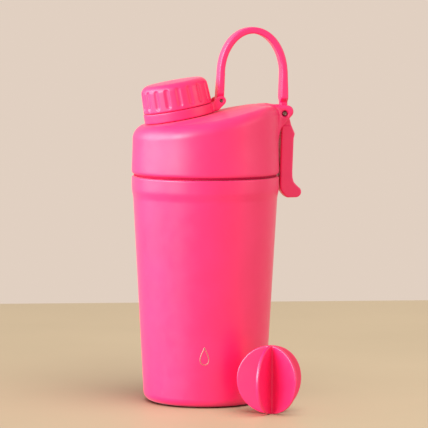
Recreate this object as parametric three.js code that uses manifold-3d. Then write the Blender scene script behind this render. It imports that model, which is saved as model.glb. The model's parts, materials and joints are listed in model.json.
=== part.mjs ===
// Protein shaker bottle: insulated cup, slanted screw lid, capped spout, carry loop, hanging arm, agitator.
// Millimetres, +Z up. The origin is the base centre on the cup's axis. The spout leans towards -X and the
// pin that carries the loop and the arm is at +X. The bottle is symmetric about the XZ plane.

import * as THREE from 'three';
import { mergeVertices } from 'three/addons/utils/BufferGeometryUtils.js';
import Module from 'manifold-3d';

// ---- Driving dimensions ----

const ROUND = 48;                 // segments of a large turned part
const GAP = 0.4;                  // clearance between touching parts

const CUP_HEIGHT = 141.5;
const CUP_BASE_RADIUS = 38.1;     // radius of the straight taper carried down to z = 0
const CUP_TAPER = 0.0545;         // radius gained per millimetre of height
const COLLAR_RADIUS = 46;
const COLLAR_BOTTOM = 132;
const STEP_BOTTOM = 128.5;        // where the taper ends below the collar
const BASE_EDGE = 5.5;            // radius of the rounded base edge
const BASE_HOLE = 32.6;           // opening in the shell's floor
const SHELL_WALL = 1.1;
const VACUUM = 2.6;               // space between the two steel walls
const MOUTH_RADIUS = 39.6;
const LINER_WALL = 1;
const PAD_HEIGHT = 1.4;

const THREAD_LEAD = 9;            // rise of the lid's thread in one turn
const THREAD_SECTION = 1.6;       // radius of the thread ridge
const PLUG_RADIUS = 36.2;
const PLUG_BOTTOM = 121;
const DECK_BOTTOM = 143.6;
const DECK_TOP = 146;

const LID_BOTTOM = CUP_HEIGHT + 0.9;
const LID_RADIUS = 45.4;          // above the draft at the seam
const LID_WALL = 2.4;
const LID_TOP = 180.5;            // height of the slanted top on the cup's axis
const LID_SLOPE = 0.19;
const LID_EDGE = 6;               // radius of the shoulder
const SLOPE_EASE_START = 18;      // x where the slant starts to level out
const SLOPE_EASE_END = 37;        // x where the top is level
const CROWN_RADIUS = 290;         // the top falls away to both sides on this radius
const CROWN_FADE = [24, 40];      // x between which the crown fades out towards the lug
const SEAT_RADIUS = 22;           // flat seat round the neck
const WARP_BOTTOM = 152;          // the wall below this height keeps its shape
const WARP_TOP = 167;

const TILT = Math.atan(LID_SLOPE);
const NECK_X = -16.3;             // neck axis where it leaves the slanted top
const NECK_RADIUS = 13.2;
const NECK_BORE = 11.2;
const NECK_HEIGHT = 15;
const NECK_DEPTH = 36.5;          // length below the slanted top
const NECK_THREAD_LEAD = 3;
const NECK_THREAD_SECTION = 0.9;

const RING_RADIUS = 21.9;
const RING_TOP = 6.3;
const RING_BORE = 18.7;
const CAP_RADIUS = 21.5;
const CAP_TOP_RADIUS = 20.6;
const CAP_BOTTOM = RING_TOP + GAP;
const CAP_TOP = CAP_BOTTOM + 16.3;
const CAP_CROWN = 1;              // rise of the cap's top from its rim to its middle
const CAP_EDGE = 4;
const CAP_BORE = 17.2;
const CAP_ROOF = 2.3;
const GROOVES = 18;
const GROOVE_RADIUS = 2;
const GROOVE_DEPTH = 0.8;
const GROOVE_LENGTH = 12.5;
const GROOVE_BOTTOM = 1.8;        // above the cap's bottom edge
const GROOVE_TURN = -2.2;         // degrees

const REAR_PIN = [48.8, 180.55];  // x and z of the pin in the lug
const FRONT_PIN = [8.9, 188.7];   // x and z of the pin in the ring's ear
const REAR_PIN_RADIUS = 1.3;
const FRONT_PIN_RADIUS = 1;
const PIN_CLEARANCE = 0.3;
const LUG_HALF_WIDTH = 9.5;
const SLOT_HALF_WIDTH = 6.4;
const LUG_RADIUS = 3.9;
const EAR_RADIUS = 2.9;

const BAND_HALF_WIDTH = 6;
const LOOP_CENTRE = [29.35, 205];  // centre of the half ellipse on top of the legs
const LOOP_RADII = [19.85, 27.4];  // of the band's middle line
const LOOP_THICKNESS = 3.9;
const FRONT_KNUCKLE = 2.9;
const REAR_KNUCKLE = 3.5;
const FRONT_KNUCKLE_HALF_WIDTH = 4.9;
const REAR_KNUCKLE_HALF_WIDTH = 3;
const FRONT_NECK = 4.2;           // the band has its knuckle's width up to this height over the pin
const REAR_NECK = 8.4;
const HOOK_EAR_RADIUS = 3.2;

const BALL_RADIUS = 21;
const BALL_CENTRE = [31.6, -60.7];
const BALL_FINS = 5;
const BALL_FIRST_FIN = 20;        // degrees from +X
const FIN_THICKNESS = 2;

// ---- Materials ----

const finish = (color, roughness, metalness) => () =>
  new THREE.MeshStandardMaterial({ color, roughness, metalness });
const pinkCoat = finish(0xff4182, 0.5, 0);
const pinkPlastic = finish(0xff4f8c, 0.45, 0);
const steel = finish(0xb9b9b6, 0.35, 1);
const softRubber = finish(0xd8386c, 0.8, 0);
const clearSilicone = finish(0xe9e6e2, 0.7, 0);
const getterMetal = finish(0x6f6f6b, 0.6, 1);

// ---- Solids ----

const wasm = await Module();
wasm.setup();

// Signed volume of an indexed triangle list; negative when the faces point inwards.
function signedVolume(positions, index) {
  const corner = (i) => new THREE.Vector3().fromArray(positions, 3 * i);
  let total = 0;
  for (let i = 0; i < index.length; i += 3) {
    total += corner(index[i]).dot(corner(index[i + 1]).cross(corner(index[i + 2]))) / 6;
  }
  return total;
}

// Closed manifold solid from a three.js geometry, with its faces turned outwards.
function solid(geometry) {
  const bare = geometry.clone();
  bare.deleteAttribute('normal');
  bare.deleteAttribute('uv');
  const merged = mergeVertices(bare, 1e-4);
  const positions = merged.attributes.position.array;
  const kept = [];
  const index = merged.index.array;
  for (let i = 0; i < index.length; i += 3) {
    const [a, b, c] = [index[i], index[i + 1], index[i + 2]];
    if (a !== b && b !== c && c !== a) {
      kept.push(a, b, c);
    }
  }
  if (signedVolume(positions, kept) < 0) {
    kept.reverse();
  }
  return new wasm.Manifold(new wasm.Mesh({
    numProp: 3,
    vertProperties: new Float32Array(positions),
    triVerts: new Uint32Array(kept),
  }));
}

function geometryOf(manifold) {
  const mesh = manifold.getMesh();
  const geometry = new THREE.BufferGeometry();
  geometry.setAttribute('position', new THREE.BufferAttribute(mesh.vertProperties, 3));
  geometry.setIndex(new THREE.BufferAttribute(mesh.triVerts, 1));
  geometry.computeVertexNormals();
  return geometry;
}

function part(name, manifold, material) {
  const mesh = new THREE.Mesh(geometryOf(manifold), material());
  mesh.name = name;
  return mesh;
}

// Turned solid about Z from [radius, height] points.
function turned(points, segments = ROUND) {
  const profile = points.map(([r, z]) => new THREE.Vector2(r, z));
  return new THREE.LatheGeometry(profile, segments).rotateX(Math.PI / 2);
}

// Turned solid whose profile stays off the axis and closes on itself.
function turnedRing(points, segments = ROUND) {
  return turned([...points, points[0]], segments);
}

// Points of an arc about [x, z], in degrees from +x.
function arc([x, z], radius, from, to, steps) {
  return Array.from({ length: steps + 1 }, (_, i) => {
    const angle = THREE.MathUtils.degToRad(from + (to - from) * i / steps);
    return [x + radius * Math.cos(angle), z + radius * Math.sin(angle)];
  });
}

// Plate whose outline lies in the XZ plane, between two values of y.
function plate(outline, yLow, yHigh) {
  const shape = new THREE.Shape(outline.map(([x, z]) => new THREE.Vector2(x, z)));
  const geometry = new THREE.ExtrudeGeometry(shape, { depth: yHigh - yLow, bevelEnabled: false });
  return solid(geometry.rotateX(Math.PI / 2).translate(0, yHigh, 0));
}

// The same plate on both sides of the XZ plane.
function platePair(outline, yInner, yOuter) {
  return plate(outline, yInner, yOuter).add(plate(outline, -yOuter, -yInner));
}

function block([x0, y0, z0], [x1, y1, z1]) {
  const geometry = new THREE.BoxGeometry(x1 - x0, y1 - y0, z1 - z0);
  return solid(geometry.translate((x0 + x1) / 2, (y0 + y1) / 2, (z0 + z1) / 2));
}

// Cylinder along Y through [x, z].
function crossPin([x, z], radius, halfLength, segments = 16) {
  return solid(new THREE.CylinderGeometry(radius, radius, 2 * halfLength, segments).translate(x, 0, z));
}

// Right-handed ridge about Z; a turn anticlockwise from above raises it by one lead.
class Helix extends THREE.Curve {
  constructor(radius, lead, bottom, firstTurn, turns) {
    super();
    Object.assign(this, { radius, lead, bottom, firstTurn, turns });
  }

  getPoint(t) {
    const turn = this.firstTurn + this.turns * t;
    const angle = 2 * Math.PI * turn;
    return new THREE.Vector3(
      this.radius * Math.cos(angle),
      this.radius * Math.sin(angle),
      this.bottom + this.lead * turn,
    );
  }
}

function ridge(helix, section, stepsPerTurn = 24) {
  const outline = arc([0, 0], section, 0, 315, 7).map(([x, y]) => new THREE.Vector2(x, y));
  const steps = Math.ceil(helix.turns * stepsPerTurn);
  return solid(new THREE.ExtrudeGeometry(new THREE.Shape(outline), { extrudePath: helix, steps }));
}

// ---- Cup ----

const cupRadius = (z) => CUP_BASE_RADIUS + CUP_TAPER * z;

function cupOuterShell() {
  const lip = PAD_HEIGHT - 1;
  const edge = cupRadius(BASE_EDGE + lip) - BASE_EDGE;
  const outside = arc([edge, lip + BASE_EDGE], BASE_EDGE, -90, 0, 5);
  const inside = arc([edge, lip + BASE_EDGE], BASE_EDGE - SHELL_WALL, 0, -90, 4);
  return turnedRing([
    [BASE_HOLE, lip],
    ...outside,
    [cupRadius(STEP_BOTTOM), STEP_BOTTOM],
    [cupRadius(STEP_BOTTOM) + 0.4, STEP_BOTTOM + 1.6],
    [COLLAR_RADIUS, COLLAR_BOTTOM],
    [COLLAR_RADIUS, CUP_HEIGHT - 0.5],
    [COLLAR_RADIUS - 0.4, CUP_HEIGHT],
    [COLLAR_RADIUS - SHELL_WALL, CUP_HEIGHT],
    [COLLAR_RADIUS - SHELL_WALL, COLLAR_BOTTOM],
    [cupRadius(STEP_BOTTOM) - SHELL_WALL, STEP_BOTTOM],
    ...inside,
    [BASE_HOLE, lip + SHELL_WALL],
  ]);
}

const LINER_BOTTOM = 7;
const LINER_EDGE = 6;
const LINER_STRAIGHT = 112;       // the mouth is cylindrical above this height

const linerRadius = (z) => cupRadius(z) - SHELL_WALL - VACUUM;

function cupInnerLiner() {
  const edge = linerRadius(LINER_BOTTOM + LINER_EDGE) - LINER_EDGE;
  const wall = solid(turned([
    [0, LINER_BOTTOM],
    ...arc([edge, LINER_BOTTOM + LINER_EDGE], LINER_EDGE, -90, 0, 4),
    [MOUTH_RADIUS + LINER_WALL, LINER_STRAIGHT],
    [MOUTH_RADIUS + LINER_WALL, CUP_HEIGHT - 1.3],
    [COLLAR_RADIUS - SHELL_WALL - GAP, CUP_HEIGHT - 1.3],
    [COLLAR_RADIUS - SHELL_WALL - GAP, CUP_HEIGHT],
    [MOUTH_RADIUS, CUP_HEIGHT],
    [MOUTH_RADIUS, LINER_STRAIGHT],
    ...arc([edge, LINER_BOTTOM + LINER_EDGE], LINER_EDGE - LINER_WALL, 0, -90, 4),
    [0, LINER_BOTTOM + LINER_WALL],
  ]));
  const thread = new Helix(MOUTH_RADIUS - 0.7, THREAD_LEAD, PLUG_BOTTOM + 9.5, -0.75, 1);
  return wall.add(ridge(thread, THREAD_SECTION));
}

const PLATE_BOTTOM = PAD_HEIGHT + GAP;
const PLATE_THICKNESS = 1;
const VACUUM_HOLE = 3.4;

function cupBasePlate() {
  return solid(turnedRing([
    [VACUUM_HOLE, PLATE_BOTTOM],
    [BASE_HOLE - GAP, PLATE_BOTTOM],
    [BASE_HOLE - GAP, PLATE_BOTTOM + PLATE_THICKNESS],
    [VACUUM_HOLE, PLATE_BOTTOM + PLATE_THICKNESS],
  ]));
}

function disc(radius, bottom, top, segments) {
  return solid(turned([[0, bottom], [radius, bottom], [radius, top], [0, top]], segments));
}

// ---- Lid ----

// Height of the slanted top above its height on the axis.
function slant(x) {
  const eased = THREE.MathUtils.clamp(x - SLOPE_EASE_START, 0, SLOPE_EASE_END - SLOPE_EASE_START);
  const span = SLOPE_EASE_END - SLOPE_EASE_START;
  return LID_SLOPE * (Math.min(x, SLOPE_EASE_START) + eased - eased * eased / (2 * span));
}

// Drop of the top towards its sides; none on the flat seat round the neck, nor near the lug.
function crown(x, y) {
  const offSeat = THREE.MathUtils.smoothstep(Math.hypot(x - NECK_X, y), SEAT_RADIUS, SEAT_RADIUS + 12);
  const offLug = 1 - THREE.MathUtils.smoothstep(x, CROWN_FADE[0], CROWN_FADE[1]);
  return y * y / (2 * CROWN_RADIUS) * offSeat * offLug;
}

// Moves the upper part of a turned lid so that its top follows the slant and the crown.
function slanted(geometry) {
  const position = geometry.attributes.position;
  for (let i = 0; i < position.count; i += 1) {
    const [x, y, z] = [position.getX(i), position.getY(i), position.getZ(i)];
    const weight = THREE.MathUtils.smoothstep(z, WARP_BOTTOM, WARP_TOP);
    position.setZ(i, z + (slant(x) - crown(x, y)) * weight);
  }
  return geometry;
}

function lidWall() {
  const flat = [34, 24, 12];
  const inner = LID_RADIUS - LID_WALL;
  return solid(slanted(turned([
    [0, LID_TOP],
    ...flat.toReversed().map((r) => [r, LID_TOP]),
    ...arc([LID_RADIUS - LID_EDGE, LID_TOP - LID_EDGE], LID_EDGE, 90, 0, 5),
    [LID_RADIUS, WARP_TOP],
    [LID_RADIUS + 0.2, WARP_BOTTOM],
    [COLLAR_RADIUS, LID_BOTTOM + 0.5],
    [COLLAR_RADIUS - 0.4, LID_BOTTOM],
    [COLLAR_RADIUS - LID_WALL, LID_BOTTOM],
    [inner + 0.2, WARP_BOTTOM],
    [inner, WARP_TOP],
    ...arc([inner - 3, LID_TOP - LID_WALL - 3], 3, 0, 90, 3),
    ...flat.map((r) => [r, LID_TOP - LID_WALL]),
    [0, LID_TOP - LID_WALL],
  ])));
}

const LUG_TOP = LID_TOP + slant(SLOPE_EASE_END);
const POCKET_X = 38.5;            // front wall of the slot
const POCKET_FLOOR = 175.5;

function lidShell() {
  const lug = plate([
    [POCKET_X - 3, POCKET_FLOOR - 3],
    [42, POCKET_FLOOR - 3],
    [42, 166],
    [43.9, 166],
    [46.2, 171],
    [49.6, 175],
    ...arc([REAR_PIN[0] + 1.6, LUG_TOP - LUG_RADIUS], LUG_RADIUS, -50, 90, 7),
    [SLOPE_EASE_END, LUG_TOP],
    [POCKET_X - 3, LUG_TOP - 0.5],
  ], -LUG_HALF_WIDTH, LUG_HALF_WIDTH);
  const slot = block(
    [POCKET_X, -SLOT_HALF_WIDTH, POCKET_FLOOR],
    [REAR_PIN[0] + 10, SLOT_HALF_WIDTH, LUG_TOP + 5],
  );
  const hangingSpace = block(
    [COLLAR_RADIUS, -SLOT_HALF_WIDTH, 157],
    [REAR_PIN[0] + 10, SLOT_HALF_WIDTH, POCKET_FLOOR + 1],
  );
  const neckHole = onNeck(disc(NECK_RADIUS + GAP + 0.1, -8, 8, 36));
  return lidWall()
    .add(lug)
    .subtract(slot)
    .subtract(hangingSpace)
    .subtract(neckHole)
    .subtract(crossPin(REAR_PIN, REAR_PIN_RADIUS + PIN_CLEARANCE, 20));
}

const NECK_Z = LID_TOP + slant(NECK_X);

// Moves a solid made about the origin onto the neck's tilted axis.
function onNeck(manifold) {
  return manifold.rotate([0, -THREE.MathUtils.radToDeg(TILT), 0]).translate([NECK_X, 0, NECK_Z]);
}

function lidInsert() {
  const wall = 2.4;
  const plug = solid(turned([
    [0, DECK_TOP],
    [COLLAR_RADIUS - LID_WALL - 0.6, DECK_TOP],
    [COLLAR_RADIUS - LID_WALL - 0.6, DECK_BOTTOM],
    [PLUG_RADIUS, DECK_BOTTOM],
    [PLUG_RADIUS, PLUG_BOTTOM + 0.6],
    [PLUG_RADIUS - 0.6, PLUG_BOTTOM],
    [PLUG_RADIUS - wall, PLUG_BOTTOM],
    [PLUG_RADIUS - wall, DECK_BOTTOM],
    [0, DECK_BOTTOM],
  ]));
  const plugThread = new Helix(PLUG_RADIUS + 0.8, THREAD_LEAD, PLUG_BOTTOM + 5, 0, 1.25);
  const neckThread = new Helix(NECK_RADIUS - 0.1, NECK_THREAD_LEAD, 8.5, 0, 1.4);
  const neck = disc(NECK_RADIUS, -NECK_DEPTH, NECK_HEIGHT, 36)
    .add(ridge(neckThread, NECK_THREAD_SECTION, 18));
  return plug
    .add(ridge(plugThread, THREAD_SECTION))
    .add(onNeck(neck))
    .subtract(onNeck(disc(NECK_BORE, -2 * NECK_DEPTH, 2 * NECK_HEIGHT, 36)));
}

function lidGasket() {
  return solid(turnedRing([
    [40.9, CUP_HEIGHT + GAP],
    [COLLAR_RADIUS - LID_WALL - 0.6, CUP_HEIGHT + GAP],
    [COLLAR_RADIUS - LID_WALL - 0.6, DECK_BOTTOM - GAP],
    [40.9, DECK_BOTTOM - GAP],
  ]));
}

// ---- Cap and its ring, made about the neck's axis with z = 0 at the lid's slanted top ----

function capShell() {
  const bead = 19.1;
  const skirt = RING_BORE - GAP;
  const body = solid(turned([
    [0, CAP_TOP + CAP_CROWN],
    [9, CAP_TOP + 0.8 * CAP_CROWN],
    ...arc([CAP_TOP_RADIUS - CAP_EDGE, CAP_TOP - CAP_EDGE], CAP_EDGE, 82, 5, 4),
    [CAP_RADIUS, CAP_BOTTOM + 0.5],
    [CAP_RADIUS - 0.4, CAP_BOTTOM],
    [skirt, CAP_BOTTOM],
    [skirt, 2],
    [bead, 1.6],
    [bead, 1.1],
    [skirt, 0.6],
    [CAP_BORE, 0.6],
    [CAP_BORE, CAP_TOP - CAP_ROOF - 1],
    [CAP_BORE - 1, CAP_TOP - CAP_ROOF],
    [0, CAP_TOP - CAP_ROOF],
  ], 2 * GROOVES));
  return capGrooves().reduce((cap, groove) => cap.subtract(groove), body);
}

function capGrooves() {
  const middle = CAP_BOTTOM + GROOVE_BOTTOM + GROOVE_LENGTH / 2;
  const first = THREE.MathUtils.degToRad(GROOVE_TURN);
  const lean = Math.atan((CAP_RADIUS - CAP_TOP_RADIUS) / (CAP_TOP - CAP_BOTTOM));
  const reach = (CAP_RADIUS + CAP_TOP_RADIUS) / 2 + GROOVE_RADIUS - GROOVE_DEPTH;
  return Array.from({ length: GROOVES }, (_, i) => {
    const capsule = new THREE.CapsuleGeometry(GROOVE_RADIUS, GROOVE_LENGTH - 2 * GROOVE_RADIUS, 2, 8);
    capsule.rotateX(Math.PI / 2).rotateY(-lean).translate(reach, 0, middle);
    return solid(capsule.rotateZ(first + 2 * Math.PI * (i + 0.5) / GROOVES));
  });
}

function capRing() {
  const step = RING_BORE + 0.9;
  const band = solid(turnedRing([
    [RING_RADIUS, 0.9],
    [RING_RADIUS, RING_TOP - 0.5],
    [RING_RADIUS - 0.5, RING_TOP],
    [RING_BORE, RING_TOP],
    [RING_BORE, 2.8],
    [step, 2.3],
    [step, GAP],
    [RING_RADIUS - 0.5, GAP],
  ]));
  const pin = neckLocal(FRONT_PIN);
  const ear = platePair([
    [19.9, 0.8],
    [24, 0.8],
    ...arc(pin, EAR_RADIUS, -50, 120, 8),
    [23.2, RING_TOP + 2],
    [21.9, RING_TOP + 0.4],
    [21.6, RING_TOP - 0.1],
    [19.9, RING_TOP - 0.1],
  ], FRONT_KNUCKLE_HALF_WIDTH + GAP, 7.4);
  return band.add(ear).subtract(crossPin(pin, FRONT_PIN_RADIUS + PIN_CLEARANCE, 20, 12));
}

// Row [x, z] written in the neck's own frame.
function neckLocal([x, z]) {
  const [dx, dz] = [x - NECK_X, z - NECK_Z];
  return [
    dx * Math.cos(TILT) + dz * Math.sin(TILT),
    dz * Math.cos(TILT) - dx * Math.sin(TILT),
  ];
}

// ---- Carry loop, arm and pins ----

// Half ellipse of the loop, offset from the band's middle line; from the front leg over to the rear leg.
function loopArch(offset, from, to) {
  return arc([0, 0], 1, from, to, 14).map(([c, s]) => [
    LOOP_CENTRE[0] + (LOOP_RADII[0] + offset) * c,
    LOOP_CENTRE[1] + (LOOP_RADII[1] + offset) * s,
  ]);
}

function carryLoop() {
  const half = LOOP_THICKNESS / 2;
  const band = plate([
    ...arc(FRONT_PIN, FRONT_KNUCKLE, 350, 190, 6).toReversed(),
    [FRONT_PIN[0] + 2.3, 194],
    ...loopArch(-half, 180, 0),
    [REAR_PIN[0] - 2.2, 192],
    ...arc(REAR_PIN, REAR_KNUCKLE, 170, 370, 8),
    [REAR_PIN[0] + 2.8, 192],
    ...loopArch(half, 0, 180),
    [FRONT_PIN[0] - 2.3, 194],
  ], -BAND_HALF_WIDTH, BAND_HALF_WIDTH);
  const sides = (x0, x1, inner, top) => block([x0, inner, 172], [x1, 10, top])
    .add(block([x0, -10, 172], [x1, -inner, top]));
  return band
    .subtract(sides(0, 20, FRONT_KNUCKLE_HALF_WIDTH, FRONT_PIN[1] + FRONT_NECK))
    .subtract(sides(40, 60, REAR_KNUCKLE_HALF_WIDTH, REAR_PIN[1] + REAR_NECK))
    .subtract(crossPin(FRONT_PIN, FRONT_PIN_RADIUS + PIN_CLEARANCE, 20, 12))
    .subtract(crossPin(REAR_PIN, REAR_PIN_RADIUS + PIN_CLEARANCE, 20));
}

const HOOK_SHOULDER = 172.8;      // the full-width paddle starts here
const HOOK_FORK_FLOOR = 173.9;    // bottom of the gap between the arm's two ears

function hangHook() {
  const paddle = plate([
    ...arc(REAR_PIN, HOOK_EAR_RADIUS, -10, 190, 8),
    [46.9, 175],
    [47.4, HOOK_SHOULDER],
    [47.2, 162],
    [46.7, 147],
    [46.5, 136],
    [46.9, 132.6],
    [49, 129.4],
    [51.6, 127.6],
    ...arc([56.6, 131.2], 3.6, -90, 60, 6),
    [56.3, 136.2],
    [55.1, 138],
    [54.6, 141.3],
    [55.1, 165],
    [55.9, 168],
    [53.7, HOOK_SHOULDER],
  ], -BAND_HALF_WIDTH, BAND_HALF_WIDTH);
  const earOuter = 5.2;
  const earInner = REAR_KNUCKLE_HALF_WIDTH + GAP;
  const outside = block([40, earOuter, HOOK_SHOULDER], [60, 10, 192])
    .add(block([40, -10, HOOK_SHOULDER], [60, -earOuter, 192]));
  return paddle
    .subtract(outside)
    .subtract(block([40, -earInner, HOOK_FORK_FLOOR], [60, earInner, 192]))
    .subtract(crossPin(REAR_PIN, REAR_PIN_RADIUS + PIN_CLEARANCE, 20));
}

// ---- Agitator ----

function agitatorBall() {
  const flat = 86;                // degrees of latitude where the poles are cut flat
  const half = FIN_THICKNESS / 2;
  const poleHeight = BALL_RADIUS * Math.sin(THREE.MathUtils.degToRad(flat));
  const outline = [[0, -poleHeight], ...arc([0, 0], BALL_RADIUS, -flat, flat, 12), [0, poleHeight]];
  const fins = Array.from({ length: BALL_FINS }, (_, i) =>
    plate(outline, -half, half).rotate([0, 0, BALL_FIRST_FIN + 360 * i / BALL_FINS]));
  return fins
    .reduce((ball, fin) => ball.add(fin), disc(half + 0.4, -poleHeight, poleHeight, 10))
    .translate([...BALL_CENTRE, poleHeight]);
}

// ---- Assembly ----

const bottle = new THREE.Group();

const cup = new THREE.Group();
cup.add(
  part('cup_outer_shell', solid(cupOuterShell()), pinkCoat),
  part('cup_inner_liner', cupInnerLiner(), steel),
  part('cup_base_plate', cupBasePlate(), steel),
  part('vacuum_plug', disc(VACUUM_HOLE - GAP, PLATE_BOTTOM, PLATE_BOTTOM + PLATE_THICKNESS, 16), steel),
  part('getter', disc(4, LINER_BOTTOM - GAP - 1.5, LINER_BOTTOM - GAP, 16), getterMetal),
  part('base_pad', disc(BASE_HOLE - GAP, 0, PAD_HEIGHT, 36), softRubber),
);

const lid = new THREE.Group();
lid.add(
  part('lid_shell', lidShell(), pinkPlastic),
  part('lid_insert', lidInsert(), pinkPlastic),
  part('lid_gasket', lidGasket(), clearSilicone),
  part('loop_rear_pin', crossPin(REAR_PIN, REAR_PIN_RADIUS, LUG_HALF_WIDTH - 0.5), steel),
  part('carry_loop', carryLoop(), pinkPlastic),
  part('loop_front_pin', crossPin(FRONT_PIN, FRONT_PIN_RADIUS, 7.2, 12), steel),
  part('hang_hook', hangHook(), pinkPlastic),
);

const closure = new THREE.Group();
closure.position.set(NECK_X, 0, NECK_Z);
closure.rotation.y = -TILT;
closure.add(
  part('cap_ring', capRing(), pinkPlastic),
  part('cap_shell', capShell(), pinkPlastic),
  part('cap_liner', disc(15.5, 18.6, CAP_TOP - CAP_ROOF - GAP, 24), pinkPlastic),
  part('cap_seal', disc(14.8, NECK_HEIGHT + GAP, 18.2, 24), clearSilicone),
);

bottle.add(cup, lid, closure, part('agitator_ball', agitatorBall(), pinkPlastic));

export default bottle;
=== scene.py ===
"""Protein shaker bottle in matte hot pink, with its loose agitator, on a pale table."""

import json
import math

import bmesh
import bpy
import numpy as np
from mathutils import Euler, Matrix, Vector

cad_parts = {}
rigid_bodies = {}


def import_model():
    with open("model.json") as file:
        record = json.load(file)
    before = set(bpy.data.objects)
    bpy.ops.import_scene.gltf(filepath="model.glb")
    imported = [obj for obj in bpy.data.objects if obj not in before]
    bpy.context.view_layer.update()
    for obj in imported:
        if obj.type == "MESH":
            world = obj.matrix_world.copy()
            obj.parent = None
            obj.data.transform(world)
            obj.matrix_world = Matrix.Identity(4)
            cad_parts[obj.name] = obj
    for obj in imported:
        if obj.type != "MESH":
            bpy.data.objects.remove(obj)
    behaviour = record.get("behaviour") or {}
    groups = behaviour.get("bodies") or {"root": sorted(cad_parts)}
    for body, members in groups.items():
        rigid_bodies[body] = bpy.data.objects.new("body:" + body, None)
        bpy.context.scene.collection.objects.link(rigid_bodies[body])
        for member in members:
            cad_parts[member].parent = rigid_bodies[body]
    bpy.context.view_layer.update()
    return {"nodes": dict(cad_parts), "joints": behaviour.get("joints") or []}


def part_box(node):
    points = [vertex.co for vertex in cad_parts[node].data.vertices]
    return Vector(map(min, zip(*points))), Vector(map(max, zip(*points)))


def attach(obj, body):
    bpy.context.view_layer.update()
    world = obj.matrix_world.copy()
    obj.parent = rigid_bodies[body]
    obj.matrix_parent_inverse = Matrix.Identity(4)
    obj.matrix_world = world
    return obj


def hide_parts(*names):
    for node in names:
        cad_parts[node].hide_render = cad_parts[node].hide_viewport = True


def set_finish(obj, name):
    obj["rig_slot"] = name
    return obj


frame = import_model()

MM = 0.001  # shapes below are made in millimetres and written to Blender in metres


def millimetres(vector):
    return np.array(vector) / MM


def joint(name):
    """A hinge's place in millimetres, from the frame."""
    return millimetres(next(j for j in frame["joints"] if j["name"] == name)["pos_m"])


def corners(node):
    low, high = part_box(node)
    return millimetres(low), millimetres(high)


# ---- Places and sizes from the frame ----

CUP_LOW, CUP_HIGH = corners("cup_outer_shell")
LID_LOW, LID_HIGH = corners("lid_shell")
BALL_LOW, BALL_HIGH = corners("agitator_ball")
REAR_PIN = joint("loop_swing")
FRONT_PIN = joint("ring_tilt")
NECK = joint("cap_turn")
NECK_AXIS = np.array(next(j for j in frame["joints"] if j["name"] == "cap_turn")["axis"])
COLLAR = CUP_HIGH[0]  # outer radius of the collar
RIM = CUP_HIGH[2]
TAPER = 0.0545  # radius gained per millimetre of height
BASE = 38.1  # radius of the taper carried down to the table


# ---- Mesh tools ----


def add_mesh(name, vertices, faces, material, body, *nodes):
    """A piece in millimetres that rides on a body and stands for CAD nodes."""
    mesh = bpy.data.meshes.new(name)
    mesh.from_pydata((np.asarray(vertices) * MM).tolist(), [], [list(map(int, f)) for f in faces])
    mesh.validate()
    mesh.update()
    mesh.polygons.foreach_set("use_smooth", [True] * len(mesh.polygons))
    mesh.materials.append(material)
    piece = bpy.data.objects.new(name, mesh)
    bpy.context.scene.collection.objects.link(piece)
    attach(piece, body)
    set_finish(piece, SLOT_OF[material.name])
    if nodes:
        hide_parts(*nodes)
    return piece


CORNERS = np.array([(i, j, k) for i in (0, 1) for j in (0, 1) for k in (0, 1)])
EDGES = [(a, b) for a in range(8) for b in range(a + 1, 8) if abs(CORNERS[a] - CORNERS[b]).sum() == 1]


def gradient(field, points):
    """Central differences of a field at points."""
    reach = 0.02
    steps = np.eye(3) * reach
    return np.stack(
        [(field(*(points + s).T) - field(*(points - s).T)) / (2 * reach) for s in steps], axis=1
    )


PULLS = 4  # times a vertex is pulled onto its surface
LEAST_SLOPE = 0.2  # squared; keeps a pull short where a field is flat


def surface_nets(field, low, high, step):
    """Vertices and quads of the surface where a field is zero, pulled onto it exactly."""
    axes = [np.arange(a - step, b + 2 * step, step) for a, b in zip(low, high)]
    values = field(*np.meshgrid(*axes, indexing="ij"))
    inside = values < 0
    cells = tuple(n - 1 for n in values.shape)

    def shifted(array, corner):
        return array[tuple(slice(c, c + n) for c, n in zip(corner, cells))]

    count = sum(shifted(inside, c).astype(np.int8) for c in CORNERS)
    active = np.argwhere((count > 0) & (count < 8))
    number = np.full(cells, -1)
    number[tuple(active.T)] = np.arange(len(active))
    total = np.zeros((len(active), 3))
    crossings = np.zeros(len(active))
    for a, b in EDGES:
        va = values[tuple((active + CORNERS[a]).T)]
        vb = values[tuple((active + CORNERS[b]).T)]
        crossed = (va < 0) != (vb < 0)
        t = np.where(crossed, va / np.where(crossed, va - vb, 1), 0)
        place = CORNERS[a] + t[:, None] * (CORNERS[b] - CORNERS[a])
        total += np.where(crossed[:, None], place, 0)
        crossings += crossed
    origin = np.array([a[0] for a in axes])
    vertices = origin + step * (active + total / crossings[:, None])
    for _ in range(PULLS):
        slope = gradient(field, vertices)
        squared = np.maximum((slope**2).sum(1), LEAST_SLOPE)[:, None]
        pull = field(*vertices.T)[:, None] * slope / squared
        vertices = vertices - np.clip(pull, -step / 2, step / 2)
    quads = []
    unit = np.eye(3, dtype=int)
    for axis in range(3):
        b, c = (axis + 1) % 3, (axis + 2) % 3
        near = np.delete(inside, -1, axis)
        far = np.delete(inside, 0, axis)
        at = np.argwhere(near != far)
        at = at[(at[:, b] > 0) & (at[:, c] > 0) & (at[:, b] < cells[b]) & (at[:, c] < cells[c])]
        around = [at, at - unit[b], at - unit[b] - unit[c], at - unit[c]]
        quad = np.stack([number[tuple(p.T)] for p in around], axis=1)
        outward = near[tuple(at.T)]
        quads.append(np.where(outward[:, None], quad, quad[:, ::-1]))
    return vertices, np.concatenate(quads)


def add_field(name, field, low, high, step, material, body, *nodes):
    vertices, quads = surface_nets(field, low, high, step)
    add_mesh(name, vertices, quads, material, body, *nodes)


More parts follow.
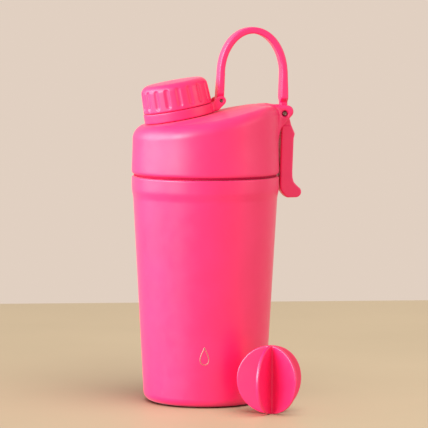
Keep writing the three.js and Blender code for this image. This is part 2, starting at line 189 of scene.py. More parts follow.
def add_turned(name, profile, material, body, *nodes, segments=192, place=None):
    """A closed turned piece from [radius, height] points; a profile off the axis closes on itself."""
    profile = np.array(profile, float)
    angle = np.linspace(0, 2 * np.pi, segments, endpoint=False)
    vertices = np.stack(
        [
            np.outer(np.cos(angle), profile[:, 0]),
            np.outer(np.sin(angle), profile[:, 0]),
            np.tile(profile[:, 1], (segments, 1)),
        ],
        axis=-1,
    ).reshape(-1, 3)
    count = len(profile)
    closed = profile[0, 0] > 0
    faces = []
    for i in range(segments):
        here, there = i * count, (i + 1) % segments * count
        for j in range(count if closed else count - 1):
            k = (j + 1) % count
            faces.append((here + j, there + j, there + k, here + k))
    if place is not None:
        vertices = place(vertices)
    piece = add_mesh(name, vertices, faces, material, body, *nodes)
    weld(piece)


def weld(piece):
    """Joins doubled points, such as those of a profile that starts on the axis."""
    work = bmesh.new()
    work.from_mesh(piece.data)
    bmesh.ops.remove_doubles(work, verts=work.verts, dist=1e-7)
    bmesh.ops.recalc_face_normals(work, faces=work.faces)
    work.to_mesh(piece.data)
    work.free()


def arc(centre, radius, start, end, steps):
    """Points on an arc, in degrees from the first axis."""
    angle = np.radians(np.linspace(start, end, steps + 1))
    return [(centre[0] + radius * math.cos(a), centre[1] + radius * math.sin(a)) for a in angle]


# ---- Distance fields ----


def smooth_union(a, b, radius):
    blend = np.maximum(radius - np.abs(a - b), 0) / radius
    return np.minimum(a, b) - blend**2 * radius / 4


def smooth_cut(a, b, radius):
    """a without b, with the edge rounded over a radius."""
    return -smooth_union(-a, b, radius)


def polygon(points):
    """Distance to an outline in the plane, negative inside."""
    points = np.array(points, float)

    def distance(x, z):
        nearest = np.full(x.shape, np.inf)
        inside = np.zeros(x.shape, bool)
        for (ax, az), (bx, bz) in zip(points, np.roll(points, -1, axis=0)):
            ex, ez = bx - ax, bz - az
            t = np.clip(((x - ax) * ex + (z - az) * ez) / (ex * ex + ez * ez), 0, 1)
            nearest = np.minimum(nearest, np.hypot(x - ax - t * ex, z - az - t * ez))
            if ez != 0:
                crosses = (az > z) != (bz > z)
                inside ^= crosses & (x < ex * (z - az) / ez + ax)
        return np.where(inside, -nearest, nearest)

    return distance


def slab(plane_distance, across, half_width, edge):
    """An outline carried across a width, with rounded edges."""
    a, b = plane_distance + edge, across - half_width + edge
    return np.hypot(np.maximum(a, 0), np.maximum(b, 0)) + np.minimum(np.maximum(a, b), 0) - edge


def cross_cylinder(x, z, pin, radius):
    """Endless cylinder along Y through a pin."""
    return np.hypot(x - pin[0], z - pin[2]) - radius


def smoothstep(value, low, high):
    t = np.clip((value - low) / (high - low), 0, 1)
    return t * t * (3 - 2 * t)


def thread(x, y, z, radius, lead, bottom, first, turns, section):
    """A right-handed ridge about Z that fades out at both ends; angles are in turns from +X."""
    out, angle = np.hypot(x, y), np.arctan2(y, x) / (2 * np.pi)
    nearest = np.full(x.shape, np.inf)
    for whole in range(math.floor(first), math.ceil(first + turns) + 1):
        turn = angle + whole
        held = np.clip(turn, first, first + turns)
        end = np.minimum(held - first, first + turns - held)
        size = section * smoothstep(end, -0.02, 0.05)
        past = (turn - held) * 2 * np.pi * radius
        gap = np.sqrt((out - radius) ** 2 + (z - bottom - lead * held) ** 2 + past**2) - size
        nearest = np.minimum(nearest, gap)
    return nearest


def rounded(inner, outer, low, high, edge):
    """Profile of a turned ring or disc with rounded edges."""
    top_out = arc((outer - edge, high - edge), edge, 0, 90, 4)
    low_out = arc((outer - edge, low + edge), edge, -90, 0, 4)
    if inner == 0:
        return [(0, low), *low_out, *top_out, (0, high)]
    top_in = arc((inner + edge, high - edge), edge, 90, 180, 4)
    low_in = arc((inner + edge, low + edge), edge, 180, 270, 4)
    return [*low_out, *top_out, *top_in, *low_in]


# ---- Neck frame: turned pieces on the spout's tilted axis ----

TILT = math.atan2(-NECK_AXIS[0], NECK_AXIS[2])
NECK_ACROSS = np.array([math.cos(TILT), 0, math.sin(TILT)])


def on_neck(vertices):
    """From the neck's own frame to the bottle's."""
    x, y, z = np.asarray(vertices).T
    return NECK + np.outer(x, NECK_ACROSS) + np.outer(y, [0, 1, 0]) + np.outer(z, NECK_AXIS)


def neck_frame(x, y, z):
    """From the bottle's frame to the neck's own."""
    dx, dz = x - NECK[0], z - NECK[2]
    return dx * math.cos(TILT) + dz * math.sin(TILT), y, dz * math.cos(TILT) - dx * math.sin(TILT)


# ---- Materials ----


def nodes_of(name):
    material = bpy.data.materials.new(name)
    material.use_nodes = True
    tree = material.node_tree
    return material, tree, tree.nodes["Principled BSDF"]


def noise(tree, scale, detail):
    coordinate = tree.nodes.new("ShaderNodeTexCoord")
    texture = tree.nodes.new("ShaderNodeTexNoise")
    texture.inputs["Scale"].default_value = scale
    texture.inputs["Detail"].default_value = detail
    tree.links.new(coordinate.outputs["Object"], texture.inputs["Vector"])
    return texture


RAMP_START, RAMP_END = 0.3, 0.7  # most values of a noise lie between these


def ramp(tree, source, low, high):
    """Source remapped onto two colours or greys."""
    node = tree.nodes.new("ShaderNodeValToRGB")
    node.color_ramp.elements[0].position = RAMP_START
    node.color_ramp.elements[0].color = (*low, 1)
    node.color_ramp.elements[1].position = RAMP_END
    node.color_ramp.elements[1].color = (*high, 1)
    tree.links.new(source, node.inputs["Fac"])
    return node.outputs["Color"]


def bump(tree, shader, height, strength, distance):
    node = tree.nodes.new("ShaderNodeBump")
    node.inputs["Strength"].default_value = strength
    node.inputs["Distance"].default_value = distance
    tree.links.new(height, node.inputs["Height"])
    tree.links.new(node.outputs["Normal"], shader.inputs["Normal"])


def coated(name, low, high, roughness, grain, strength, sheen=0.0, specular=0.85):
    """Coloured coat or plastic with faint mottling and a fine surface grain."""
    material, tree, shader = nodes_of(name)
    mottle = noise(tree, 45, 2)
    tree.links.new(ramp(tree, mottle.outputs["Fac"], low, high), shader.inputs["Base Color"])
    patch = noise(tree, 160, 3)
    grey = [(r, r, r) for r in roughness]
    tree.links.new(ramp(tree, patch.outputs["Fac"], *grey), shader.inputs["Roughness"])
    bump(tree, shader, noise(tree, grain, 2).outputs["Fac"], strength, 0.00002)
    shader.inputs["Sheen Weight"].default_value = sheen
    shader.inputs["Sheen Roughness"].default_value = 0.4
    shader.inputs["Specular IOR Level"].default_value = specular
    return material


def brushed(name, colour, roughness, squeeze):
    """Steel with fine lines; squeeze stretches the grain along the lines."""
    material, tree, shader = nodes_of(name)
    coordinate = tree.nodes.new("ShaderNodeTexCoord")
    mapping = tree.nodes.new("ShaderNodeMapping")
    mapping.inputs["Scale"].default_value = squeeze
    texture = tree.nodes.new("ShaderNodeTexNoise")
    texture.inputs["Scale"].default_value = 300
    tree.links.new(coordinate.outputs["Object"], mapping.inputs["Vector"])
    tree.links.new(mapping.outputs["Vector"], texture.inputs["Vector"])
    greys = [(r, r, r) for r in (roughness - 0.08, roughness + 0.1)]
    tree.links.new(ramp(tree, texture.outputs["Fac"], *greys), shader.inputs["Roughness"])
    dark = tuple(0.9 * c for c in colour)
    tree.links.new(ramp(tree, texture.outputs["Fac"], dark, colour), shader.inputs["Base Color"])
    bump(tree, shader, texture.outputs["Fac"], 0.15, 0.00005)
    shader.inputs["Metallic"].default_value = 1
    return material


PINK_LOW, PINK_HIGH = (0.94, 0.006, 0.16), (0.98, 0.01, 0.18)
POWDER = coated("powder_coat", PINK_LOW, PINK_HIGH, (0.36, 0.44), 2600, 0.35, 0.2)
PLASTIC = coated("satin_plastic", PINK_LOW, PINK_HIGH, (0.41, 0.49), 3800, 0.12, 0.1)
# painted shade: the lip's dark maroon colour stands in for the shade inside the seam between lid and cup
LIP_PAINTED_SHADE = coated("lip_painted_shade", (0.40, 0.002, 0.05), (0.44, 0.003, 0.06), (0.5, 0.6), 3800, 0.12, specular=0.1)
AGITATOR = coated("agitator_plastic", (0.95, 0.01, 0.15), (1.0, 0.014, 0.17), (0.34, 0.42), 3800, 0.08)
RUBBER = coated("foot_rubber", (0.5, 0.02, 0.09), (0.62, 0.03, 0.12), (0.7, 0.82), 2200, 0.5)
SILICONE = coated("seal_silicone", (0.72, 0.7, 0.67), (0.8, 0.78, 0.75), (0.5, 0.6), 1800, 0.2)
STEEL = brushed("brushed_steel", (0.62, 0.61, 0.6), 0.32, (1, 1, 0.04))
PIN_STEEL = brushed("pin_steel", (0.22, 0.14, 0.13), 0.38, (1, 0.05, 1))
ETCHED = brushed("etched_steel", (0.50, 0.33, 0.31), 0.5, (1, 1, 1))

SLOT_OF = {  # the record's slot that each material stands for
    POWDER.name: "cup_coat",
    PLASTIC.name: "lid_plastic",
    LIP_PAINTED_SHADE.name: "lid_plastic",
    AGITATOR.name: "agitator_plastic",
    RUBBER.name: "foot_rubber",
    SILICONE.name: "seal_silicone",
    STEEL.name: "steel",
    PIN_STEEL.name: "steel",
    ETCHED.name: "steel",
}


# ---- Cup ----

RIM_INNER = 43.9  # the coat runs over the rim as far as this radius


def cup_radius(z):
    return BASE + TAPER * z


def add_cup():
    wall, edge, hole = 1.1, 5.5, 32.6
    lip = CUP_LOW[2]
    centre = (cup_radius(lip + edge) - edge, lip + edge)
    step_low, step_high = RIM - 14.6, RIM - 7.6
    heights = np.linspace(0, 1, 9)
    shoulder = [
        (
            cup_radius(step_low) + (COLLAR - cup_radius(step_low)) * smoothstep(t, 0, 1),
            step_low + (step_high - step_low) * t,
        )
        for t in heights
    ]
    outside = [
        (hole, lip),
        *arc(centre, edge, -90, 0, 14),
        *[(cup_radius(z), z) for z in np.linspace(lip + edge + 6, step_low - 6, 12)],
        *shoulder,
        *[(COLLAR, z) for z in np.linspace(step_high + 2, RIM - 1.2, 4)],
        *arc((COLLAR - 1, RIM - 1), 1, 0, 90, 8),
    ]
    inside = [
        (RIM_INNER, RIM),
        (RIM_INNER, RIM - 1.4),
        (COLLAR - wall, RIM - 2.6),
        (COLLAR - wall, step_high),
        (cup_radius(step_low) - wall, step_low),
        *arc(centre, edge - wall, 0, -90, 8),
        (hole, lip + wall),
    ]
    add_turned("cup_wall", outside + inside, POWDER, "cup", "cup_outer_shell", segments=256)


def add_foot():
    high = corners("base_pad")[1]
    radius, top, round_edge = high[0], high[2], 0.5
    profile = [
        (0, 0),
        (radius - 6, 0),
        *arc((radius - round_edge, round_edge), round_edge, -90, 0, 4),
        *arc((radius - round_edge, top - round_edge), round_edge, 0, 90, 4),
        (0, top),
    ]
    add_turned("foot_pad", profile, RUBBER, "cup", "base_pad")


LINER_LOW, LINER_HIGH = corners("cup_inner_liner")
MOUTH = 39.6  # radius of the cup's mouth
LEAD = 9  # rise of the lid's thread in one turn
THREAD_SECTION = 1.6  # radius of the lid's and the mouth's thread ridges
LINER_DEPTH = 3.7  # from the cup's outside to the liner's


def add_liner():
    """Inner steel wall, with the thread that the lid screws into."""
    bottom, top, edge, wall = LINER_LOW[2], LINER_HIGH[2], 6, 1
    radius = cup_radius(bottom + edge) - LINER_DEPTH
    centre = (radius - edge, bottom + edge)
    straight = RIM - 29.5
    depth = LINER_DEPTH + wall
    bell = [
        (MOUTH + (cup_radius(z) - depth - MOUTH) * (1 - smoothstep(z, straight - 14, straight)), z)
        for z in np.linspace(straight - 16, straight + 2, 10)
    ]
    flange = RIM_INNER - 0.3
    outside = [(r + wall, z) for r, z in bell]
    profile = [
        (0, bottom),
        *arc(centre, edge, -90, 0, 12),
        *outside,
        (MOUTH + wall, top - 1.3),
        *arc((flange - 0.3, top - 1.0), 0.3, -90, 0, 3),
        *arc((flange - 0.3, top - 0.3), 0.3, 0, 90, 3),
        *arc((MOUTH + 0.5, top - 0.5), 0.5, 90, 180, 4),
        *reversed(bell),
        *arc(centre, edge - wall, 0, -90, 12),
        (0, bottom + wall),
    ]
    add_turned("inner_wall", profile, STEEL, "cup", "cup_inner_liner")

    def field(x, y, z):
        return thread(x, y, z, MOUTH - 0.7, LEAD, RIM - 11, -0.75, 1, THREAD_SECTION)

    low, high = (-41, -41, RIM - 20), (41, 41, RIM - 7)
    add_field("mouth_thread", field, low, high, 0.55, STEEL, "cup", "cup_inner_liner")


# ---- Lid ----

SLOPE = math.tan(TILT)
EASE_START, EASE_END = 18, 37
CROWN_RADIUS = 290  # the top falls away to both sides on this radius
CROWN_FADE = (24, 40)  # x between which the crown fades out towards the lug
SEAT_RADIUS = 22  # flat seat round the neck
TOP = NECK[2] - SLOPE * NECK[0]  # height of the slanted top over the cup's axis
LID_SIDE = 45.5
LID_WALL = 2.4


def slant(x):
    eased = np.clip(x - EASE_START, 0, EASE_END - EASE_START)
    return SLOPE * (np.minimum(x, EASE_START) + eased - eased**2 / (2 * (EASE_END - EASE_START)))


def crown(x, y):
    """Drop of the top towards its sides; none on the seat round the neck, nor near the lug."""
    off_seat = smoothstep(np.hypot(x - NECK[0], y), SEAT_RADIUS, SEAT_RADIUS + 12)
    off_lug = 1 - smoothstep(x, *CROWN_FADE)
    return y * y / (2 * CROWN_RADIUS) * off_seat * off_lug


def lid_solid(x, y, z, inset):
    """The lid's outer form, shrunk by an inset: a drafted cylinder under a slanted, rounded top."""
    radius = np.hypot(x, y)
    draft = 0.55 * smoothstep(LID_LOW[2] + 24 - z, 0, 24)
    side = radius - (LID_SIDE + draft - inset)
    top = (z - (TOP + slant(x) - crown(x, y)) + inset) * math.cos(TILT)
    turn = np.clip(-x / COLLAR, -1, 1)
    edge = np.maximum(6.6 + 0.4 * turn - inset * 0.8, 1.2)
    a, b = side + edge, top + edge
    return np.hypot(np.maximum(a, 0), np.maximum(b, 0)) + np.minimum(np.maximum(a, b), 0) - edge


LUG_TOP = LID_HIGH[2]
LUG_WIDTH = 9.5
SLOT_WIDTH = 6.4
LUG_ROUND = 3.9
LUG = polygon(
    [
        (35, 170),
        (42, 170),
        (42, 164),
        (43.4, 164),
        (46.2, 171),
        (49.6, 175),
        *arc((REAR_PIN[0] + 1.6, LUG_TOP - LUG_ROUND), LUG_ROUND, -50, 90, 16),
        (38, LUG_TOP),
        (35, LUG_TOP - 0.5),
    ]
)
SLOT_FACE = 45.95  # x of the slot's face behind the arm
SLOT = polygon([(38.5, 175.5), (SLOT_FACE, 175.5), (SLOT_FACE, 152), (62, 152), (62, 202), (38.5, 202)])
REAR_HOLE = 1.6  # radius of the holes round the rear pin
POCKET = polygon([(35.5, 172.5), (47, 172.5), (47, 188), (35.5, 188)])


def lid_field(x, y, z):
    outer = lid_solid(x, y, z, 0)
    inner = lid_solid(x, y, z, LID_WALL)
    lug = slab(LUG(x, z), np.abs(y), LUG_WIDTH, 1.3)
    body = smooth_union(outer, lug, 3.0)
    inner_pocket = slab(POCKET(x, z), np.abs(y), LUG_WIDTH, 0.6)
    hollow = np.maximum(inner, -inner_pocket)
    shell = smooth_cut(body, hollow, 0.5)
    slot = slab(SLOT(x, z), np.abs(y), SLOT_WIDTH, 0.4)
    shell = smooth_cut(shell, slot, 0.9)
    shell = smooth_cut(shell, cross_cylinder(x, z, REAR_PIN, REAR_HOLE), 0.5)
    sink_radius = REAR_HOLE + 0.1 + 0.8 * smoothstep(np.abs(y), LUG_WIDTH - 1.1, LUG_WIDTH)
    sink = cross_cylinder(x, z, REAR_PIN, sink_radius)
    shell = smooth_cut(shell, sink, 0.3)
    a, b, c = neck_frame(x, y, z)
    neck = np.maximum(np.hypot(a, b) - 13.7, np.abs(c) - 9)
    shell = smooth_cut(shell, neck, 0.5)
    return smooth_cut(shell, z - LID_LOW[2] - 0.45, 2.0)


def add_lid():
    add_field("lid_cover", lid_field, LID_LOW, LID_HIGH, 0.75, PLASTIC, "lid", "lid_shell")


def add_lip():
    """Lip inside the lid's lower edge, which covers the gasket from outside; its dark maroon colour is
    painted shade for the seam between lid and cup.
    """
    profile = rounded(43.2, 44.8, RIM + 0.15, RIM + 3, 0.25)
    add_turned("lid_lip", profile, LIP_PAINTED_SHADE, "lid", "lid_shell")


INSERT_LOW, INSERT_HIGH = corners("lid_insert")
PLUG_RADIUS, DECK_RADIUS, DECK_TOP = 36.2, 43.0, 146
NECK_RADIUS, NECK_BORE, NECK_FOOT, NECK_TOP = 13.2, 11.2, -36.5, 15
NECK_LEAD, NECK_SECTION = 3, 0.9  # of the spout's thread


def insert_field(x, y, z):
    """Threaded plug, deck and spout neck in one piece."""
    radius = np.hypot(x, y)
    low, top, wall = INSERT_LOW[2], DECK_TOP, 2.4
    plug_wall = np.abs(radius - PLUG_RADIUS + wall / 2) - wall / 2
    plug = slab(plug_wall, np.abs(z - (low + top) / 2), (top - low) / 2, 0.6)
    deck = slab(radius - DECK_RADIUS, np.abs(z - top + wall / 2), wall / 2, 0.5)
    body = smooth_union(plug, deck, 1.0)
    plug_thread = thread(x, y, z, PLUG_RADIUS + 0.8, LEAD, low + 5, 0, 1.25, THREAD_SECTION)
    body = smooth_union(body, plug_thread, 0.6)
    a, b, c = neck_frame(x, y, z)
    out = np.hypot(a, b)
    half, middle = (NECK_TOP - NECK_FOOT) / 2, (NECK_TOP + NECK_FOOT) / 2
    neck = slab(out - NECK_RADIUS, np.abs(c - middle), half, 0.5)
    neck_thread = thread(a, b, c, NECK_RADIUS - 0.1, NECK_LEAD, 8.5, 0, 1.4, NECK_SECTION)
    neck = smooth_union(neck, neck_thread, 0.5)
    body = smooth_union(body, neck, 1.0)
    return smooth_cut(body, out - NECK_BORE, 0.8)


def add_insert():
    add_field(
        "threaded_plug", insert_field, INSERT_LOW, INSERT_HIGH, 0.62, PLASTIC, "lid", "lid_insert"
    )


def add_gasket():
    low, high = corners("lid_gasket")
    profile = rounded(40.9, high[0], low[2], high[2], 0.5)
    add_turned("rim_gasket", profile, SILICONE, "gasket", "lid_gasket")


# ---- Cap and ring ----

CAP_BOTTOM, CAP_TOP = 6.6, 23.0
CAP_CROWN, CAP_EDGE = 1.0, 4.2
CAP_RADIUS, CAP_TOP_RADIUS = 21.5, 20.6
CAP_BORE, CAP_ROOF = 17.2, 2.3
GROOVES = 18
GROOVE_TURN = math.radians(-2.2)


def cap_field(x, y, z):
    """In the neck's own frame."""
    radius, angle = np.hypot(x, y), np.arctan2(y, x)
    lean = (CAP_RADIUS - CAP_TOP_RADIUS) / (CAP_TOP - CAP_BOTTOM)
    side = (radius - (CAP_RADIUS - lean * (z - CAP_BOTTOM))) * math.cos(math.atan(lean))
    top = z - (CAP_TOP + CAP_CROWN * (1 - (radius / CAP_TOP_RADIUS) ** 2))
    a, b = side + CAP_EDGE, top + CAP_EDGE
    body = np.hypot(np.maximum(a, 0), np.maximum(b, 0)) + np.minimum(np.maximum(a, b), 0) - CAP_EDGE
    body = smooth_cut(body, z - CAP_BOTTOM, 0.8)
    pitch = 2 * math.pi / GROOVES
    off = (np.mod(angle - GROOVE_TURN, pitch) - pitch / 2) * radius
    middle, half, bore = CAP_BOTTOM + 8.05, 4.6, 2.0
    along = np.maximum(np.abs(z - middle) - half, 0)
    groove = np.sqrt(off**2 + along**2 + (side - (bore - 0.85)) ** 2) - bore
    body = smooth_cut(body, groove, 0.5)
    skirt = slab(np.abs(radius - 17.75) - 0.55, np.abs(z - 8.6), 8.0, 0.25)
    bead = np.hypot(radius - 18.4, z - 1.35) - 0.6
    body = smooth_union(body, skirt, 0.4)
    body = smooth_union(body, bead, 0.3)
    hollow = slab(radius - CAP_BORE, np.abs(z), CAP_TOP - CAP_ROOF, 1.0)
    return smooth_cut(body, hollow, 0.3)


def add_cap():
    vertices, quads = surface_nets(cap_field, (-21.6, -21.6, 0.5), (21.6, 21.6, 24.2), 0.42)
    add_mesh("screw_cap", on_neck(vertices), quads, PLASTIC, "cap", "cap_shell")


def add_cap_inside():
    """Hub that fills the cap's roof, and the soft disc that closes the spout."""
    hub = rounded(0, 15.5, 18.6, CAP_TOP - 2.7, 0.4)
    add_turned("cap_hub", hub, PLASTIC, "cap", "cap_liner", place=on_neck)
    disc = [
        (0, 15.4),
        (10.4, 15.4),
        *arc((12.2, 15.75), 0.35, 180, 0, 5),
        *arc((14.4, 15.8), 0.4, -90, 0, 4),
        *arc((14.4, 17.8), 0.4, 0, 90, 4),
        (0, 18.2),
    ]
    add_turned("spout_seal", disc, SILICONE, "cap", "cap_seal", place=on_neck)


PIN_LOCAL = neck_frame(*FRONT_PIN)
EAR = polygon(
    [
        (19.6, 0.8),
        (24.0, 0.8),
        *arc((PIN_LOCAL[0], PIN_LOCAL[2]), 2.9, -50, 120, 16),
        (23.2, 8.3),
        (21.9, 6.7),
        (21.2, 6.2),
        (19.6, 6.2),
    ]
)


def ring_field(x, y, z):
    """In the neck's own frame."""
    radius = np.hypot(x, y)
    band = slab(np.abs(radius - 20.3) - 1.6, np.abs(z - 3.35), 2.95, 0.5)
    ears = slab(EAR(x, z), np.abs(np.abs(y) - 6.35), 1.05, 0.55)
    ring = smooth_union(band, ears, 1.6)
    ring = smooth_cut(ring, slab(radius - 19.6, np.abs(z), 2.4, 0.1), 0.2)
    ring = np.maximum(ring, 18.7 - radius)
    hole = np.hypot(x - PIN_LOCAL[0], z - PIN_LOCAL[2]) - 1.15
    return smooth_cut(ring, hole, 0.4)


def add_ring():
    vertices, quads = surface_nets(ring_field, (-21.6, -21.6, 0.2), (31.2, 21.6, 9.4), 0.4)
    add_mesh("retaining_ring", on_neck(vertices), quads, PLASTIC, "ring", "cap_ring")


# ---- Loop, arm and pins ----

LOOP_LOW, LOOP_HIGH = corners("carry_loop")
LOOP_CENTRE = (29.35, 205.0)
LOOP_RADII = (19.85, 27.35)
LOOP_SPLAY = 0.06  # outward lean of the front leg
BAND_WIDTH = 6  # this and the knuckles' widths are measured from the middle
FRONT_KNUCKLE_WIDTH, REAR_KNUCKLE_WIDTH = 4.9, 3.0


def loop_field(x, y, z):
    """A flat band on straight legs under half an ellipse, with a knuckle on each pin."""
    dx, dz = x - LOOP_CENTRE[0], np.maximum(z - LOOP_CENTRE[1], 0)
    dx = dx + np.where(dx < 0, LOOP_SPLAY, 0) * np.maximum(LOOP_CENTRE[1] - z, 0)
    a, b = LOOP_RADII
    level = np.sqrt((dx / a) ** 2 + (dz / b) ** 2)
    steep = np.sqrt((dx / a**2) ** 2 + (dz / b**2) ** 2) / np.maximum(level, 1e-6)
    middle = (level - 1) / np.maximum(steep, 1e-6)
    rear = dx > 0
    flare = np.where(rear, 0.5, 0.3) * smoothstep(LOOP_CENTRE[1] - z, -4, 14)
    foot = np.where(rear, REAR_PIN[2] + 2, FRONT_PIN[2] + 1)
    narrow_width = np.where(rear, REAR_KNUCKLE_WIDTH, FRONT_KNUCKLE_WIDTH)
    narrow_top = np.where(rear, REAR_PIN[2] + 8.4, FRONT_PIN[2] + 3.2)
    widening = smoothstep(z, narrow_top - 1.6, narrow_top + 1.4)
    width = narrow_width + (BAND_WIDTH - narrow_width) * widening
    half = 1.88 + flare + 0.15 * smoothstep(z, 212, 232)
    band = slab(np.maximum(np.abs(middle) - half, foot - z), np.abs(y), width, 1.15)
    front = slab(cross_cylinder(x, z, FRONT_PIN, 2.9), np.abs(y), FRONT_KNUCKLE_WIDTH, 0.5)
    back = slab(cross_cylinder(x, z, REAR_PIN, 3.5), np.abs(y), REAR_KNUCKLE_WIDTH, 0.4)
    loop = smooth_union(band, front, 1.2)
    loop = smooth_union(loop, back, 1.2)
    loop = smooth_cut(loop, cross_cylinder(x, z, FRONT_PIN, 1.3), 0.3)
    return smooth_cut(loop, cross_cylinder(x, z, REAR_PIN, REAR_HOLE), 0.3)


def add_loop():
    add_field("loop_band", loop_field, LOOP_LOW, LOOP_HIGH, 0.45, PLASTIC, "loop", "carry_loop")


HOOK_LOW, HOOK_HIGH = corners("hang_hook")
ARM_SHOULDER = 172.8  # the full-width paddle starts below this height
ARM = polygon(
    [
        *arc((REAR_PIN[0], REAR_PIN[2]), 3.2, -10, 190, 16),
        (46.9, 175.4),
        (47.3, 172.6),
        (47.1, 162),
        (46.7, 147),
        (46.5, 136),
        (46.8, 132.8),
        (48.9, 129.8),
        *arc((51.6, 129.2), 1.5, 230, 270, 4),
        *arc((56.6, 131.3), 3.5, -90, 62, 12),
        (56.4, 136.2),
        (55.2, 137.8),
        (54.5, 140.4),
        (54.4, 144),
        (55.1, 165),
        (55.8, 167.8),
        (53.7, ARM_SHOULDER),
    ]
)


def arm_field(x, y, z):
    width = 5.2 + 0.8 * smoothstep(ARM_SHOULDER + 0.1 - z, -0.5, 0.5)
    arm = slab(ARM(x, z), np.abs(y), width, 0.9)
    gap = slab(ARM_SHOULDER + 1.3 - z, np.abs(y), 3.3, 0.3)
    arm = smooth_cut(arm, gap, 0.5)
    return smooth_cut(arm, cross_cylinder(x, z, REAR_PIN, REAR_HOLE), 0.3)


def add_arm():
    add_field("hanging_arm", arm_field, HOOK_LOW, HOOK_HIGH, 0.45, PLASTIC, "arm", "hang_hook")


def add_pin(name, pin, radius, half_length, body, node):
    """A pin along Y with rounded ends and a shallow hollow in each."""
    edge, hollow = radius * 0.3, radius * 0.45
    end = [
        (0, half_length - hollow * 0.6),
        (hollow, half_length - hollow * 0.6),
        (hollow * 1.2, half_length),
        *arc((radius - edge, half_length - edge), edge, 90, 0, 4),
    ]
    profile = end + [(r, -z) for r, z in reversed(end)]

    def place(vertices):
        x, y, z = vertices.T
        return np.stack([pin[0] + x, z, pin[2] - y], axis=1)

    add_turned(name, profile, PIN_STEEL, body, node, segments=40, place=place)


# ---- Agitator ----

BALL_AXIS = (31.6, -60.7)
BALL_RADIUS = 21.0
BALL_TURN = math.radians(20)  # of the first fin, from +X
FINS = 5


def ball_field(x, y, z):
    """Five half discs about an upright axis."""
    centre = (BALL_AXIS[0], BALL_AXIS[1], (BALL_LOW[2] + BALL_HIGH[2]) / 2)
    dx, dy, dz = x - centre[0], y - centre[1], z - centre[2]
    radius = np.hypot(dx, dy)
    pitch = 2 * math.pi / FINS
    angle = np.mod(np.arctan2(dy, dx) - BALL_TURN + pitch / 2, pitch) - pitch / 2
    along, across = radius * np.cos(angle), radius * np.sin(angle)
    disc = np.maximum(np.hypot(along, dz) - BALL_RADIUS, -along - 1)
    fin = slab(disc, np.abs(across), 1.0, 0.55)
    core = slab(radius - 1.2, np.abs(dz), centre[2], 0.4)
    ball = smooth_union(fin, core, 2.5)
    return np.maximum(ball, np.abs(dz) - centre[2])


def add_ball():
    add_field("agitator_fins", ball_field, BALL_LOW, BALL_HIGH, 0.42, AGITATOR, "agitator", "agitator_ball")


# ---- Mark ----


def add_mark():
    """A plain drop outline etched into the coat low on the cup's front."""
    height, width, line, lift = 11.0, 3.9, 0.55, 0.03
    centre_z, steps = 33.0, 72
    t = np.linspace(0, 2 * np.pi, steps, endpoint=False)
    u = width * np.sin(t) * np.sin(t / 2) ** 1.6
    v = height / 2 * np.cos(t)
    middle = np.stack([u, v], axis=1)
    tangent = np.roll(middle, -1, axis=0) - np.roll(middle, 1, axis=0)
    normal = np.stack([tangent[:, 1], -tangent[:, 0]], axis=1)
    normal /= np.linalg.norm(normal, axis=1)[:, None]
    rims = [middle + side * line / 2 * normal for side in (-1, 1)]
    facing = math.radians(CAMERA_AZIMUTH)
    layers = []
    for depth in (-0.2, lift):
        for rim in rims:
            z = centre_z + rim[:, 1]
            r = cup_radius(z) + depth
            angle = facing + rim[:, 0] / r
            layers.append(np.stack([r * np.sin(angle), -r * np.cos(angle), z], axis=1))
    vertices = np.concatenate(layers)
    inner_low, outer_low, inner_high, outer_high = (i * steps for i in range(4))
    faces = []
    for i in range(steps):
        j = (i + 1) % steps
        for a, b in (
            (inner_high, outer_high),
            (outer_high, outer_low),
            (outer_low, inner_low),
            (inner_low, inner_high),
        ):
            faces.append((a + i, b + i, b + j, a + j))
    piece = add_mesh("etched_drop", vertices, faces, ETCHED, "cup")
    weld(piece)


# ---- Stage, camera and light ----

CAMERA_AZIMUTH = -9.0  # degrees from looking along +Y, towards the spout side
CAMERA_DISTANCE = 1.7
CAMERA_HEIGHT = 0.264
CAMERA_ROLL = 0.004  # radians
LENS = 229
AIM_ACROSS, AIM_HEIGHT = 0.0055, 0.1174


def add_camera():
    turn = math.radians(CAMERA_AZIMUTH)
    right = np.array([math.cos(turn), math.sin(turn), 0])
    back = np.array([math.sin(turn), -math.cos(turn), 0])
    aim = right * AIM_ACROSS + np.array([0, 0, AIM_HEIGHT])
    place = right * AIM_ACROSS + back * CAMERA_DISTANCE + np.array([0, 0, CAMERA_HEIGHT])
    data = bpy.data.cameras.new("camera")
    data.lens = LENS
    data.sensor_width = 36
    camera = bpy.data.objects.new("camera", data)
    bpy.context.scene.collection.objects.link(camera)
    camera.location = place
    direction = aim - place
    pitch = math.atan2(direction[2], np.hypot(direction[0], direction[1]))
    look = Euler((math.pi / 2 + pitch, 0, turn)).to_matrix() @ Matrix.Rotation(CAMERA_ROLL, 3, "Z")
    camera.rotation_euler = look.to_euler()
    bpy.context.scene.camera = camera


TABLE_TURN = -3  # degrees; the table's far edge isn't square to the view
LIGHT_AIM = (0, 0, 0.12)


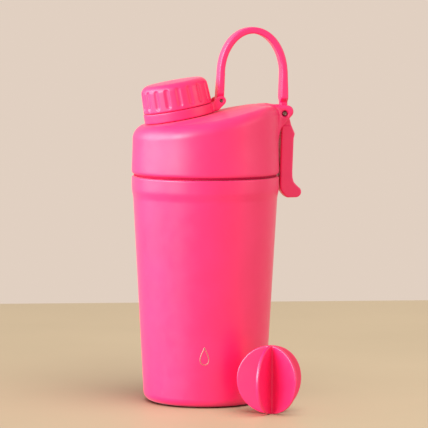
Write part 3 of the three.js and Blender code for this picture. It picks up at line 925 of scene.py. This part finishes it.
def add_floor():
    material, tree, shader = nodes_of("table_top")
    grain = noise(tree, 6, 4)
    tree.links.new(
        ramp(tree, grain.outputs["Fac"], (0.305, 0.25, 0.166), (0.325, 0.266, 0.178)),
        shader.inputs["Base Color"],
    )
    shader.inputs["Roughness"].default_value = 0.6
    near, back, half_width = -3.0, 0.517, 3.0
    turn = math.radians(TABLE_TURN)
    vertices = [
        (x * math.cos(turn) - y * math.sin(turn), x * math.sin(turn) + y * math.cos(turn), 0)
        for x, y in ((-half_width, near), (half_width, near), (half_width, back), (-half_width, back))
    ]
    mesh = bpy.data.meshes.new("table")
    mesh.from_pydata(vertices, [], [(0, 1, 2, 3)])
    mesh.materials.append(material)
    table = bpy.data.objects.new("table", mesh)
    bpy.context.scene.collection.objects.link(table)
    return table


def add_light(name, place, size, power, colour, receivers):
    """A round area light that lights only its receivers."""
    data = bpy.data.lights.new(name, "AREA")
    data.shape = "DISK"
    data.size = size
    data.energy = power
    data.color = colour
    lamp = bpy.data.objects.new(name, data)
    bpy.context.scene.collection.objects.link(lamp)
    lamp.location = place
    direction = np.array(LIGHT_AIM) - np.array(place)
    lamp.rotation_euler = Vector(direction).to_track_quat("-Z", "Y").to_euler()
    lit = bpy.data.collections.new(name + "_receivers")
    for receiver in receivers:
        lit.objects.link(receiver)
    lamp.light_linking.receiver_collection = lit


def add_world():
    world = bpy.data.worlds.new("wall")
    world.use_nodes = True
    background = world.node_tree.nodes["Background"]
    background.inputs["Color"].default_value = (0.755, 0.63, 0.535, 1)
    background.inputs["Strength"].default_value = 1.0
    bpy.context.scene.world = world


bpy.context.scene.view_settings.view_transform = "Standard"
add_camera()
add_world()

add_cup()
add_liner()
add_foot()
add_mark()
add_lid()
add_lip()
add_insert()
add_gasket()
add_cap()
add_cap_inside()
add_ring()
add_loop()
add_arm()
add_pin("rear_hinge_pin", REAR_PIN, 1.3, 9.0, "lid", "loop_rear_pin")
add_pin("front_hinge_pin", FRONT_PIN, 1.0, 7.2, "loop", "loop_front_pin")
add_ball()

# The table has a lamp of its own, so that its brightness is set apart from the bottle's.
pieces = [thing for thing in bpy.context.scene.collection.objects if "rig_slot" in thing]
table = add_floor()
add_light("key", (-3.4, -2.1, 1.5), 2.4, 185, (1, 0.98, 0.95), pieces)
add_light("side", (-3.6, 0.6, 1.2), 3.4, 165, (1, 0.99, 0.95), pieces)
add_light("fill", (2.9, -1.6, 1.0), 2.0, 17, (1, 0.94, 1.0), pieces)
add_light("overhead", (0.5, -1.2, 2.8), 3.5, 195, (1, 0.97, 0.93), [table])

for node in ("cup_base_plate", "vacuum_plug", "getter"):  # hidden over the foot pad
    frame["nodes"][node].data.materials.clear()
    frame["nodes"][node].data.materials.append(STEEL)
